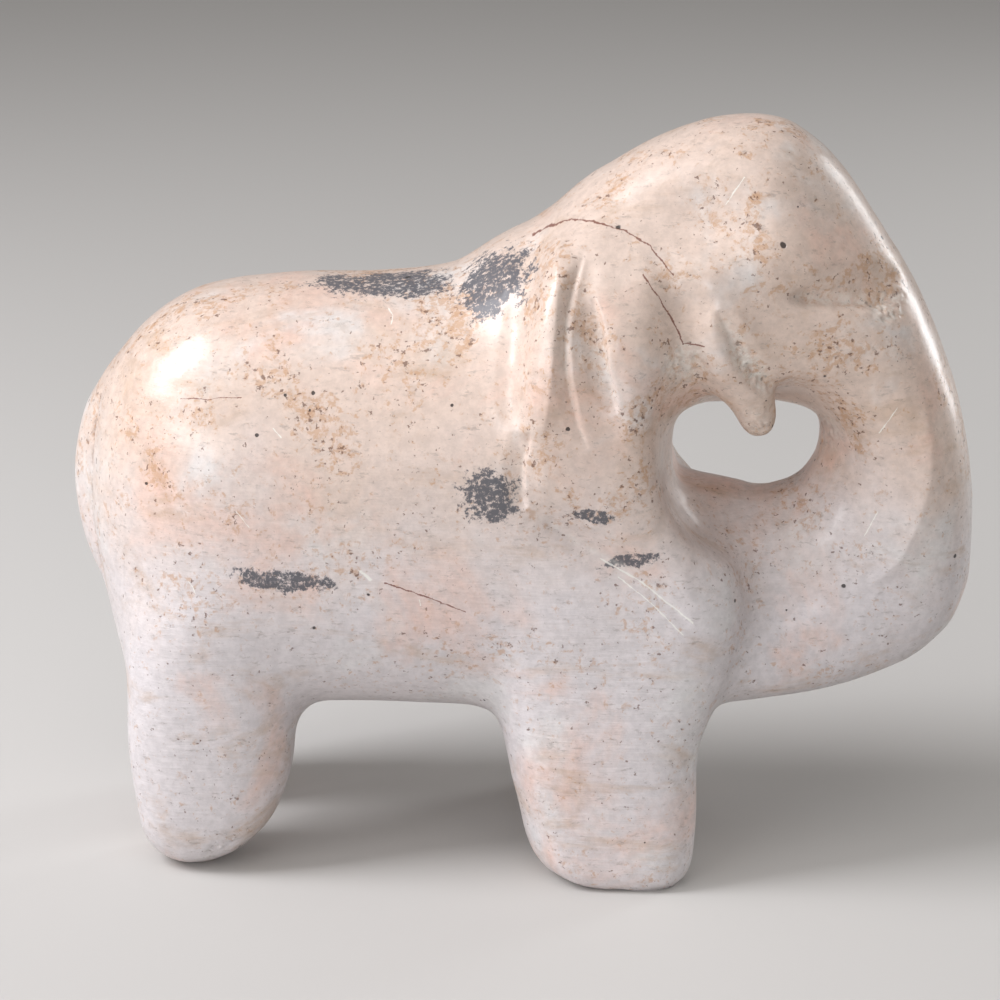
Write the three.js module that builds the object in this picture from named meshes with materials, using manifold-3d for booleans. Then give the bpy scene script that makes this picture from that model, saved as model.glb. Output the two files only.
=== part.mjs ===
// A small standing elephant, carved from one piece of soapstone, with its trunk curled back to its chest.
//
// Millimetres, +Z up. The head points along +X, the carving is the same thickness either side of Y = 0,
// and its four soles stand on Z = 0, with the origin under the middle of the figure.
//
// The block is described as a signed field: slabs with a side outline and rolled edges, and tapering columns
// for the legs, are blended into each other, and the hollows are scooped out of them. A net of quads is then
// wrapped round the field, with its lines closer together where the carving is finer.

import * as THREE from "three";
import { mergeVertices } from "three/addons/utils/BufferGeometryUtils.js";
import Module from "manifold-3d";

const wasm = await Module();
wasm.setup();

// ---------------------------------------------------------------- driving dimensions

const BODY_HALF_WIDTH = 14.4; // the barrel of the body
const BODY_ROLL = [14, 19]; // how far in from its outline the barrel reaches full width, at the belly and the back
const BODY_ROLL_Z = [18, 44]; // the heights of these two
const EAR_HALF_WIDTH = 15.5; // the widest place, across the backs of the ears ...
const EAR_WIDEST_Z = 44; // ... at this height, narrowing in an arch ...
const EAR_TOP_Z = 62; // ... that would close here
const EAR_ROLL = 3.2; // rolled edge of the ears
const EAR_LIES_BACK = [[3, 0.1], [9, 0.16]]; // from each x on, the ears slope in by this much more
const FACE_HALF_WIDTH = 12.6; // behind the eyes
const TRUNK_HALF_WIDTH = 7.4; // along the outside of the curl
const FACE_BACK_X = 12; // the face thins from here ...
const FACE_FRONT_X = 39; // ... to here
const FACE_ROLL = 5; // rolled edge along the forehead and the trunk
const CROWN_ROLL = 15; // and over the crown
const CROWN_Z = [48, 62]; // the roll widens between these heights ...
const NAPE_X = [6, 20]; // ... and towards the nape
const CHIN_SHARE = 0.84; // how far the underside of the trunk narrows ...
const CHIN_Z = [24, 38]; // ... between these heights
const TAIL_HALF_WIDTH = 3.2;
const TAIL_ROLL = 1.3;
const LEG_GAP_HALF = 2.9; // half of the slot between a left and a right leg

const SOFT = 2.4; // blend between the large masses, where legs and head grow out of the body
const FIRM = 1.8; // round the ears and tusks
const CRISP = 0.8; // blend at an edge left by the knife
const FULLNESS = 2.2; // how square the sections of the masses are: 2 is an ellipse

// ---------------------------------------------------------------- side outlines, as [x, z]

const BODY_OUTLINE = [
  [-36.4, 20], [-37.6, 26], [-38.3, 32], [-38.1, 38], [-36.8, 42.6], [-34, 46.8], [-29, 50.4],
  [-21, 51.9], [-12, 52.2], [-5, 53.2], [1, 55.9], [8, 53], [13, 44], [16, 34], [16.5, 24], [13, 16.5],
  [4, 13.2], [-8, 13.5], [-20, 13.5], [-30, 13.4], [-34.6, 15.5],
];

const HEAD_OUTLINE = [
  [-4, 52.4], [2.8, 57.5], [7.4, 61.7], [13, 64.9], [19, 66.4], [23.2, 66], [27.1, 63], [31, 57.5],
  [35.1, 50.8], [38.2, 43.2], [39.9, 36], [40.2, 29.5], [39.7, 23.2], [36.4, 18.9], [30, 15.8], [22.7, 14.4], [17, 14.4],
  [12, 22], [6, 34], [0, 46],
];

const EAR_OUTLINE = [
  [7.5, 60.8], [3.6, 58.2], [0.9, 55], [-0.5, 50.5], [-1.3, 46], [-1.1, 41], [0.2, 36.8], [3.4, 33.6], [7.5, 30.3],
  [12, 27.2], [16, 25], [18, 28], [17, 32], [14.6, 36.5], [13.6, 41], [13.9, 46], [14.4, 51], [13.6, 55.5], [11.5, 59.5],
];

const TAIL_OUTLINE = [
  [-35.8, 22.6], [-37.7, 24.4], [-39.1, 27.6], [-39.9, 32], [-39.6, 37], [-38.1, 41.2], [-35.2, 44.4], [-33, 42],
  [-34, 32], [-33.5, 24],
];

const LOOP_OUTLINE = [
  [14.2, 41.6], [13.7, 39.6], [13.6, 36.8], [14, 34.3], [17.6, 34], [21.9, 33.3], [24.7, 34.1], [26.2, 36.2],
  [26.6, 38.6], [26.1, 40.4], [24.4, 41.2], [19, 41.2],
];

// ---------------------------------------------------------------- field tools

const OUTLINE_STEPS = 96;

function smoothOutline(points) {
  const corners = points.map(([x, z]) => new THREE.Vector3(x, z, 0));
  const curve = new THREE.CatmullRomCurve3(corners, true, "centripetal");
  return curve.getSpacedPoints(OUTLINE_STEPS).slice(0, OUTLINE_STEPS);
}

// How far (x, z) lies inside an outline: positive inside, negative outside.
function insetIn(outline, x, z) {
  let nearest = Infinity;
  let inside = false;
  for (let i = 0, j = outline.length - 1; i < outline.length; j = i++) {
    const a = outline[j];
    const b = outline[i];
    const ex = b.x - a.x;
    const ez = b.y - a.y;
    const along = THREE.MathUtils.clamp(((x - a.x) * ex + (z - a.y) * ez) / (ex * ex + ez * ez), 0, 1);
    nearest = Math.min(nearest, Math.hypot(x - a.x - along * ex, z - a.y - along * ez));
    if (a.y > z !== b.y > z && x < a.x + ((z - a.y) / ez) * ex) inside = !inside;
  }
  return inside ? nearest : -nearest;
}

function blendUnion(a, b, radius) {
  const overlap = Math.max(radius - Math.abs(a - b), 0) / radius;
  return Math.min(a, b) - (overlap * overlap * radius) / 4;
}

function blendCut(solid, tool, radius) {
  return -blendUnion(-solid, tool, radius);
}

function ramp(value, from, to) {
  return THREE.MathUtils.clamp((value - from) / (to - from), 0, 1);
}

function easedRamp(value, from, to) {
  return THREE.MathUtils.smoothstep(value, from, to);
}

// A superellipse of two measures that each reach 1 at the surface, as a distance.
function rounded(a, b, power, reachA, reachB) {
  const sum = Math.pow(a ** power + b ** power, 1 / power);
  if (sum < 1e-6) return -Math.min(reachA, reachB);
  const slopeA = (a / sum) ** (power - 1) / reachA;
  const slopeB = (b / sum) ** (power - 1) / reachB;
  return (sum - 1) / Math.max(Math.hypot(slopeA, slopeB), 0.5 / Math.max(reachA, reachB));
}

// A slab cut to an outline: full width from `roll` inside its edge, and rolled over to the edge.
function slab(inset, y, halfWidth, roll, power) {
  return rounded(Math.max(roll - inset, 0) / roll, Math.abs(y) / halfWidth, power, roll, halfWidth);
}

function ellipsoid(x, y, z, centre, radii) {
  const [dx, dy, dz] = [(x - centre[0]) / radii[0], (y - centre[1]) / radii[1], (z - centre[2]) / radii[2]];
  return (Math.hypot(dx, dy, dz) - 1) * Math.min(...radii);
}

// A straight taper from one point and radius to another.
function taper(x, y, z, from, to, radiusFrom, radiusTo) {
  const a = new THREE.Vector3(...from);
  const line = new THREE.Vector3(...to).sub(a);
  const point = new THREE.Vector3(x, y, z).sub(a);
  const along = THREE.MathUtils.clamp(point.dot(line) / line.lengthSq(), 0, 1);
  return point.addScaledVector(line, -along).length() - THREE.MathUtils.lerp(radiusFrom, radiusTo, along);
}

// How deep a stroke along a path of [x, z] points cuts at (x, z). Its two walls may differ in width.
function strokeDepth(path, x, z, depth, leftWidth, rightWidth) {
  let best = Infinity;
  let side = 0;
  let alongPath = 0;
  for (let i = 0; i + 1 < path.length; i++) {
    const [ax, az] = path[i];
    const ex = path[i + 1][0] - ax;
    const ez = path[i + 1][1] - az;
    const along = THREE.MathUtils.clamp(((x - ax) * ex + (z - az) * ez) / (ex * ex + ez * ez), 0, 1);
    const gap = Math.hypot(x - ax - along * ex, z - az - along * ez);
    if (gap < best) {
      best = gap;
      side = Math.sign(ex * (z - az) - ez * (x - ax));
      alongPath = (i + along) / (path.length - 1);
    }
  }
  const fade = Math.sqrt(Math.sin(Math.PI * alongPath));
  const width = (side > 0 ? leftWidth : rightWidth) * fade;
  return best < width ? depth * fade * Math.cos((Math.PI / 2) * (best / width)) ** 2 : 0;
}

// ---------------------------------------------------------------- the masses

const bodyOutline = smoothOutline(BODY_OUTLINE);
const headOutline = smoothOutline(HEAD_OUTLINE);
const earOutline = smoothOutline(EAR_OUTLINE);
const tailOutline = smoothOutline(TAIL_OUTLINE);
const loopOutline = smoothOutline(LOOP_OUTLINE);

function body(x, y, z) {
  const roll = THREE.MathUtils.lerp(...BODY_ROLL, ramp(z, ...BODY_ROLL_Z));
  return slab(insetIn(bodyOutline, x, z), y, BODY_HALF_WIDTH, roll, FULLNESS);
}

// The head is a wedge: thick behind the eyes, thin over the crown and along the outside of the trunk.
function head(x, y, z) {
  const halfWidth = THREE.MathUtils.lerp(FACE_HALF_WIDTH, TRUNK_HALF_WIDTH, ramp(x, FACE_BACK_X, FACE_FRONT_X));
  const lower = THREE.MathUtils.lerp(CHIN_SHARE, 1, easedRamp(z, ...CHIN_Z));
  const crown = Math.max(easedRamp(z, ...CROWN_Z), 1 - easedRamp(x, ...NAPE_X));
  const roll = THREE.MathUtils.lerp(FACE_ROLL, CROWN_ROLL, crown);
  return slab(insetIn(headOutline, x, z), y, halfWidth * lower, roll, FULLNESS);
}

// The ears rise from the nape in a round arch to the widest place half way down, and lie back towards the cheeks.
function ears(x, y, z) {
  const arch = Math.sqrt(1 - Math.min(ramp(z, EAR_WIDEST_Z, EAR_TOP_Z), 0.98) ** 2);
  const lieBack = EAR_LIES_BACK.reduce((sum, [from, slope]) => sum + slope * Math.max(x - from, 0), 0);
  return slab(insetIn(earOutline, x, z), y, EAR_HALF_WIDTH * arch - lieBack, EAR_ROLL, 2);
}

function tail(x, y, z) {
  return slab(insetIn(tailOutline, x, z), y, TAIL_HALF_WIDTH, TAIL_ROLL, FULLNESS);
}

// How far a wall has rolled inwards at height z, for a rolled edge of the given width and height.
function rolledIn(z, [width, height]) {
  const left = THREE.MathUtils.clamp(1 - z / height, 0, 1);
  return width * (1 - Math.sqrt(1 - left * left));
}

// A wall of a leg, given by where it stands at the sole and at every WALL_STEP above it.
const WALL_STEP = 6;

function wall(places, roll) {
  const curve = new THREE.SplineCurve(places.map((place, i) => new THREE.Vector2(place, i)));
  const top = WALL_STEP * (places.length - 1);
  return (z) => ({ place: curve.getPoint(ramp(z, 0, top)).x, roll: rolledIn(z, roll) });
}

const INNER_ROLL = [1.2, 2];
const SOLE_OVERRUN = 2; // the legs are first drawn this far past the ground, and then cut flat

// The front leg carries on up as the column of the chest, behind the trunk.
const FRONT_LEG = {
  back: wall([1.8, 0.5, -0.9, -1.6, -1.2, 0, 2], [2.8, 3.4]),
  front: wall([15.9, 16.2, 16.3, 18.4, 19.8, 19, 16], [1.3, 2.2]),
  outer: wall([14.7, 14.5, 14.4, 14.3, 14.2, 13.6, 11], [1.3, 1.6]),
  power: [4, 2.5],
  facet: 2.3,
  top: 36,
};
const REAR_LEG = {
  back: wall([-33.1, -34, -34.5, -34, -33, -31], [2.1, 3.4]),
  front: wall([-21.7, -20.5, -19.5, -20, -22, -26], [6.8, 8]),
  outer: wall([12.7, 13.4, 13.9, 14, 13.4, 11], [3.2, 4.2]),
  power: [2.6, 2.6],
  facet: 1.2,
  top: 30,
};
const FAR_REAR_LEG = { ...REAR_LEG, front: wall([-23.6, -23.2, -22.6, -22.6, -24, -27], [4.5, 6]) }; // on +Y

// A leg is a column between its walls, with the outer back corner cut off.
function leg(x, y, z, shape) {
  const [back, front, outer] = [shape.back(z), shape.front(z), shape.outer(z)];
  const backEdge = back.place + back.roll;
  const frontEdge = front.place - front.roll;
  const outerEdge = outer.place - outer.roll;
  const innerEdge = LEG_GAP_HALF + rolledIn(z, INNER_ROLL);
  const [halfX, halfY] = [(frontEdge - backEdge) / 2, (outerEdge - innerEdge) / 2];
  const across = Math.abs(x - (backEdge + frontEdge) / 2) / halfX;
  const sideways = Math.abs(Math.abs(y) - (outerEdge + innerEdge) / 2) / halfY;
  const power = THREE.MathUtils.lerp(...shape.power, ramp(z, 0, shape.top));
  const column = rounded(across, sideways, power, halfX, halfY);
  const corner = 0.8 * (backEdge - x) + 0.6 * (Math.abs(y) - outerEdge) + shape.facet;
  return Math.max(-blendUnion(-column, -corner, CRISP), z - shape.top);
}

function legs(x, y, z) {
  return Math.min(leg(x, y, z, FRONT_LEG), leg(x, y, z, y > 0 ? FAR_REAR_LEG : REAR_LEG));
}

// ---------------------------------------------------------------- the hollows and strokes

const DISH = { centre: [22.6, -18.5, 34.3], radii: [17.3, 13.2, 17.3] }; // the trunk thins towards its loop
const LIP = { at: [22, 8.5, 45.2], slope: 0.45, fall: 0.08 }; // the dish ends under the cheek, in a sloping edge
const FUNNEL = { centre: [21.2, -9, 37.2], radii: [8.5, 8.2, 7.8] }; // and falls steeply to the hole
const TEMPLE = { centre: [14.5, -14.2, 60.3], radii: [9, 6.5, 4.6] }; // shallow dish above each eye
const TUSK = { root: [17, -9.6, 49.5], tip: [21.1, -8.2, 41.6], rootRadius: 3, tipRadius: 1.8 };
const TAIL_GROOVE = [ // each as a centre and a radius
  { centre: [-37.2, -4.3, 43], radius: 0.4 },
  { centre: [-39, -4.4, 37], radius: 1.4 },
  { centre: [-39.2, -4.4, 30], radius: 1.4 },
  { centre: [-37.2, -4.2, 23.4], radius: 0.4 },
];

const STROKES = [ // each with its depth and the widths of the walls to its left and right
  { path: [[22.4, 53.3], [32.4, 53.5]], depth: 1.1, walls: [1.5, 2.8] }, // the eye
  { path: [[6, 57], [6.2, 53], [6.8, 49], [7.7, 45], [9, 41.2]], depth: 0.9, walls: [1.6, 2.5] }, // in the ear
  { path: [[12.2, 57], [13.6, 53], [15, 49], [16, 44.5]], depth: 0.9, walls: [3.4, 3.4] }, // before the ear
  { path: [[0, 36.4], [3, 33.8], [7.5, 30.4], [12, 27.6], [17.5, 23]], depth: 0.5, walls: [2.4, 2.4] }, // under it
];

function loopHole(x, z) {
  return -insetIn(loopOutline, x, z);
}

function strokes(x, z) {
  return Math.max(...STROKES.map(({ path, depth, walls }) => strokeDepth(path, x, z, depth, ...walls)));
}

function tailGroove(x, y, z) {
  const runs = TAIL_GROOVE.slice(1).map((end, i) => {
    const start = TAIL_GROOVE[i];
    return taper(x, y, z, start.centre, end.centre, start.radius, end.radius);
  });
  return Math.min(...runs);
}

function tusk(x, y, z) {
  return taper(x, y, z, TUSK.root, TUSK.tip, TUSK.rootRadius, TUSK.tipRadius);
}

// ---------------------------------------------------------------- the whole carving

function dish(x, y, z) {
  const lip = z - LIP.at[2] - LIP.slope * (Math.abs(y) - LIP.at[1]) + LIP.fall * (x - LIP.at[0]);
  return -blendUnion(-ellipsoid(x, y, z, DISH.centre, DISH.radii), -lip, CRISP);
}

function elephant(x, y, z) {
  const mirrored = -Math.abs(y);
  const face = blendCut(head(x, y, z), dish(x, mirrored, z), FIRM);
  let solid = blendUnion(body(x, y, z), face, SOFT);
  solid = blendUnion(solid, legs(x, y, z), SOFT);
  solid = blendUnion(solid, ears(x, y, z), FIRM);
  solid = blendUnion(solid, tail(x, y, z), CRISP);
  solid = blendCut(solid, tailGroove(x, mirrored, z), CRISP);
  solid = blendCut(solid, ellipsoid(x, mirrored, z, FUNNEL.centre, FUNNEL.radii), FIRM);
  solid = blendCut(solid, ellipsoid(x, mirrored, z, TEMPLE.centre, TEMPLE.radii), SOFT);
  solid = blendCut(solid, loopHole(x, z), CRISP);
  solid = blendUnion(solid, tusk(x, mirrored, z), FIRM);
  return Math.max(solid + strokes(x, z), -SOLE_OVERRUN - z);
}

// ---------------------------------------------------------------- wrapping the surface

const PROBE = 0.04; // half the distance over which the field's slope is taken
const LONGEST_STEP = 0.6;
const RELAX_ROUNDS = 3;

// Grid planes through `stops` of [position, spacing]: each spacing holds up to the next stop.
function gridPlanes(stops) {
  const planes = [stops[0][0]];
  stops.slice(1).forEach(([end], i) => {
    const start = stops[i][0];
    const count = Math.round((end - start) / stops[i][1]);
    for (let k = 1; k <= count; k++) planes.push(start + ((end - start) * k) / count);
  });
  return planes;
}

// Moves a point straight on to the surface.
function settle(field, point) {
  for (let round = 0; round < 3; round++) {
    const value = field(point.x, point.y, point.z);
    const slope = new THREE.Vector3(
      field(point.x + PROBE, point.y, point.z) - field(point.x - PROBE, point.y, point.z),
      field(point.x, point.y + PROBE, point.z) - field(point.x, point.y - PROBE, point.z),
      field(point.x, point.y, point.z + PROBE) - field(point.x, point.y, point.z - PROBE),
    ).divideScalar(2 * PROBE);
    const steepness = Math.max(slope.length(), 0.3);
    const step = THREE.MathUtils.clamp(value / steepness, -LONGEST_STEP, LONGEST_STEP);
    point.addScaledVector(slope, -step / steepness);
  }
}

// Where stone would meet stone along one grid edge only, fills a corner beside it, so that the net stays a solid.
function fillPinches(values, [nx, ny, nz]) {
  const planes = [[1, nx], [nx, nx * ny], [1, nx * ny]];
  let filled = true;
  while (filled) {
    filled = false;
    for (let n = 0; n + 1 + nx + nx * ny < values.length; n++)
      for (const [right, up] of planes) {
        const corners = [n, n + right, n + up, n + right + up];
        const [a, b, c, d] = corners.map((corner) => values[corner] < 0);
        if (a !== d || b !== c || a === b) continue;
        const empty = corners.filter((corner) => values[corner] >= 0);
        values[empty.reduce((p, q) => (values[p] < values[q] ? p : q))] = -PROBE;
        filled = true;
      }
  }
}

// A surface net: one point in each grid cell that the surface passes through, one quad across each grid edge.
function surfaceNet(field, xs, ys, zs) {
  const [nx, ny, nz] = [xs.length, ys.length, zs.length];
  const node = (i, j, k) => (k * ny + j) * nx + i;
  const values = new Float64Array(nx * ny * nz);
  for (let k = 0; k < nz; k++)
    for (let j = 0; j < ny; j++)
      for (let i = 0; i < nx; i++) values[node(i, j, k)] = field(xs[i], ys[j], zs[k]);
  fillPinches(values, [nx, ny, nz]);

  const points = [];
  const pointOf = new Map();
  const edges = [];
  for (const [a, b, c] of [[0, 0, 0], [1, 0, 0], [0, 1, 0], [1, 1, 0], [0, 0, 1], [1, 0, 1], [0, 1, 1]])
    for (const [da, db, dc] of [[1, 0, 0], [0, 1, 0], [0, 0, 1]])
      if (a + da < 2 && b + db < 2 && c + dc < 2) edges.push([a, b, c, da, db, dc]);

  const cell = (i, j, k) => {
    const key = node(i, j, k);
    if (pointOf.has(key)) return pointOf.get(key);
    const sum = new THREE.Vector3();
    let crossings = 0;
    for (const [a, b, c, da, db, dc] of edges) {
      const v0 = values[node(i + a, j + b, k + c)];
      const v1 = values[node(i + a + da, j + b + db, k + c + dc)];
      if (v0 < 0 === v1 < 0) continue;
      const t = v0 / (v0 - v1);
      sum.x += xs[i + a] + t * da * (xs[i + 1] - xs[i]);
      sum.y += ys[j + b] + t * db * (ys[j + 1] - ys[j]);
      sum.z += zs[k + c] + t * dc * (zs[k + 1] - zs[k]);
      crossings++;
    }
    pointOf.set(key, points.length);
    points.push(sum.divideScalar(crossings));
    return points.length - 1;
  };

  const quads = [];
  for (let k = 1; k < nz - 1; k++)
    for (let j = 1; j < ny - 1; j++)
      for (let i = 1; i < nx - 1; i++) {
        const here = values[node(i, j, k)] < 0;
        const rings = [
          [values[node(i + 1, j, k)], [[i, j - 1, k - 1], [i, j, k - 1], [i, j, k], [i, j - 1, k]]],
          [values[node(i, j + 1, k)], [[i - 1, j, k - 1], [i - 1, j, k], [i, j, k], [i, j, k - 1]]],
          [values[node(i, j, k + 1)], [[i - 1, j - 1, k], [i, j - 1, k], [i, j, k], [i - 1, j, k]]],
        ];
        for (const [next, ring] of rings) {
          if (here === next < 0) continue;
          const quad = ring.map((where) => cell(...where));
          quads.push(here ? quad : quad.reverse());
        }
      }
  return { points, quads };
}

// Evens the net out along the surface: each point moves half way to the middle of its neighbours and settles again.
function relax(field, { points, quads }) {
  const neighbours = points.map(() => new Set());
  for (const quad of quads)
    quad.forEach((p, i) => {
      neighbours[p].add(quad[(i + 1) % 4]);
      neighbours[p].add(quad[(i + 3) % 4]);
    });
  points.forEach((point) => settle(field, point));
  for (let round = 0; round < RELAX_ROUNDS; round++) {
    const middles = points.map((point, i) => {
      const middle = new THREE.Vector3();
      neighbours[i].forEach((other) => middle.add(points[other]));
      return middle.divideScalar(neighbours[i].size);
    });
    points.forEach((point, i) => {
      point.lerp(middles[i], 0.5);
      settle(field, point);
    });
  }
}

// Splits each quad along the diagonal that lies closer to the surface.
function wrapSurface(field, xs, ys, zs) {
  const net = surfaceNet(field, xs, ys, zs);
  relax(field, net);
  const offSurface = (p, q) => {
    const middle = net.points[p].clone().lerp(net.points[q], 0.5);
    return Math.abs(field(middle.x, middle.y, middle.z));
  };
  const faces = net.quads.flatMap(([a, b, c, d]) =>
    offSurface(a, c) <= offSurface(b, d) ? [a, b, c, a, c, d] : [a, b, d, b, c, d],
  );
  const geometry = new THREE.BufferGeometry().setFromPoints(net.points);
  geometry.setIndex(faces);
  return geometry;
}

// ---------------------------------------------------------------- cutting the soles flat

function toManifold(geometry) {
  const bare = geometry.clone();
  bare.deleteAttribute("normal");
  bare.deleteAttribute("uv");
  const merged = mergeVertices(bare, 1e-4);
  const mesh = new wasm.Mesh({
    numProp: 3,
    vertProperties: new Float32Array(merged.attributes.position.array),
    triVerts: new Uint32Array(merged.index.array),
  });
  return new wasm.Manifold(mesh);
}

function toGeometry(manifold) {
  const { vertProperties, triVerts } = manifold.getMesh();
  const geometry = new THREE.BufferGeometry();
  geometry.setAttribute("position", new THREE.BufferAttribute(vertProperties, 3));
  geometry.setIndex(new THREE.BufferAttribute(triVerts, 1));
  geometry.computeVertexNormals();
  return geometry;
}

const BELOW_GROUND = 2 * SOLE_OVERRUN;

const across = gridPlanes([[-43, 2.55], [-2, 1.05], [10, 1.6], [36, 2], [44, 2]]);
const sideways = gridPlanes([[-18, 2.1], [18, 2]]);
const upward = gridPlanes([[-BELOW_GROUND, 2], [0, 1], [2, 2.5], [26, 1.9], [50, 1.1], [57, 2.2], [70, 2]]);

const ground = new THREE.BoxGeometry(120, 60, 2 * BELOW_GROUND).translate(0, 0, -BELOW_GROUND);
const carved = toManifold(wrapSurface(elephant, across, sideways, upward)).subtract(toManifold(ground));

// ---------------------------------------------------------------- the part

const soapstone = new THREE.MeshStandardMaterial({ color: 0xcdb8ac, roughness: 0.42, metalness: 0 });
const surface = toGeometry(carved);
surface.computeBoundingBox();
const middle = surface.boundingBox.getCenter(new THREE.Vector3());
surface.translate(-middle.x, -middle.y, 0);

const figure = new THREE.Mesh(surface, soapstone);
figure.name = "elephant";

const part = new THREE.Group();
part.add(figure);

export default part;
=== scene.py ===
"""A palm-size elephant carved from one block of mottled soapstone and polished by hand.

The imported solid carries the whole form. This script turns a copy of it into a fine, smooth surface, cuts the
knife work into it (ear cuts, eye notch, tail groove, chips), and gives it the finish of waxed soapstone.
"""

import logging
import math
from collections.abc import Sequence
from dataclasses import dataclass
from enum import Enum

import bmesh
import bpy
import numpy as np
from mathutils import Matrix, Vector, noise


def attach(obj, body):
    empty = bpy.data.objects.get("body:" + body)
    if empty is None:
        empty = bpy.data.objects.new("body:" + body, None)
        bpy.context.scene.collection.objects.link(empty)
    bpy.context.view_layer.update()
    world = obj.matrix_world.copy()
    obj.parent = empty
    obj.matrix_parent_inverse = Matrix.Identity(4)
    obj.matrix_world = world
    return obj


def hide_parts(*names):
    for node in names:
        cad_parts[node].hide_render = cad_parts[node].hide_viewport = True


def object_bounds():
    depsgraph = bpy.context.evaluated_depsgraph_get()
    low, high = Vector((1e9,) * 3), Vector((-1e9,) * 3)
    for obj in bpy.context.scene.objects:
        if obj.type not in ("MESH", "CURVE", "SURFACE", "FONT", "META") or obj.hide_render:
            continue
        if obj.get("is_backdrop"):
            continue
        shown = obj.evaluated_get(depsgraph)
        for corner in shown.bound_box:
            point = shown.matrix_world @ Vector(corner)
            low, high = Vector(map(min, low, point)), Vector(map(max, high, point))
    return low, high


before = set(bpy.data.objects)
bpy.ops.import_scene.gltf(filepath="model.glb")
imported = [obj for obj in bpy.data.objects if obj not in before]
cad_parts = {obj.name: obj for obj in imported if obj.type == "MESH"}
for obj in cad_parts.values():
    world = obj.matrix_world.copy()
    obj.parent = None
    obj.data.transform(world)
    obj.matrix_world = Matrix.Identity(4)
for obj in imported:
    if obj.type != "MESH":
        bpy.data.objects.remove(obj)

MM = 0.001
log = logging.getLogger("elephant")

END_WIDTH = 0.45  # width of a cut at its ends, as a share of its full width
CUT_MARGIN = 0.2  # how far past a cut's edge the surface is made finer, in millimetres
VEE_HOLLOW = 1.2  # above 1, the walls of a V are hollow
STEP_HOLLOW = 1.3  # the same for the sloping side of a step
STEEP_SHARE = 0.3  # share of a step's width that its steep side takes
FACING_FROM = 0.1  # a cut begins where the surface faces its sheet by this much ...
FACING_RANGE = 0.2  # ... and is full after this much more
CHIP_FLOOR = 0.25  # depth between the chips of a break, as a share of its full depth
CHIP_RELIEF = 0.9  # how far the chips rise and fall
GRIT_RELIEF = 0.35  # and the grit on them
GRIT_PER_CHIP = 2.7  # grains of grit along one chip
RIM_STEEPNESS = 2.2  # how soon a break reaches its depth, inwards from its rim

Point = tuple[float, float]
Place = tuple[float, float, float]
Tint = tuple[float, float, float, float]


class Side(Enum):
    """Which flank of the elephant a mark is on, by the sign of Y."""

    NEAR = -1
    FAR = 1
    BOTH = 0


class Section(Enum):
    """Cross-section that a cut leaves in the stone."""

    ROUND = "round"
    VEE = "vee"
    STEP = "step"


class Sheet(Enum):
    """The plane that a cut is drawn on, by its two axes."""

    FLANK = (0, 2)
    RUMP = (1, 2)


def linear(red: int, green: int, blue: int) -> Tint:
    """Turn a colour mixed in display values into the linear values that shaders take.

    Args:
        red: Display red, 0 to 255.
        green: Display green, 0 to 255.
        blue: Display blue, 0 to 255.

    Returns:
        The linear colour with full opacity.
    """
    def channel(value: int) -> float:
        """Return one channel in linear light."""
        share = value / 255
        return share / 12.92 if share <= 0.04045 else ((share + 0.055) / 1.055) ** 2.4

    return channel(red), channel(green), channel(blue), 1.0


def on_side(at: np.ndarray, side: Side) -> np.ndarray:
    """Tell which points lie on a flank.

    Args:
        at: Surface points, in millimetres.
        side: The flank.

    Returns:
        True for each point that does.
    """
    if side is Side.BOTH:
        return np.ones(len(at), dtype=bool)
    return at[:, 1] * side.value > 0


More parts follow.
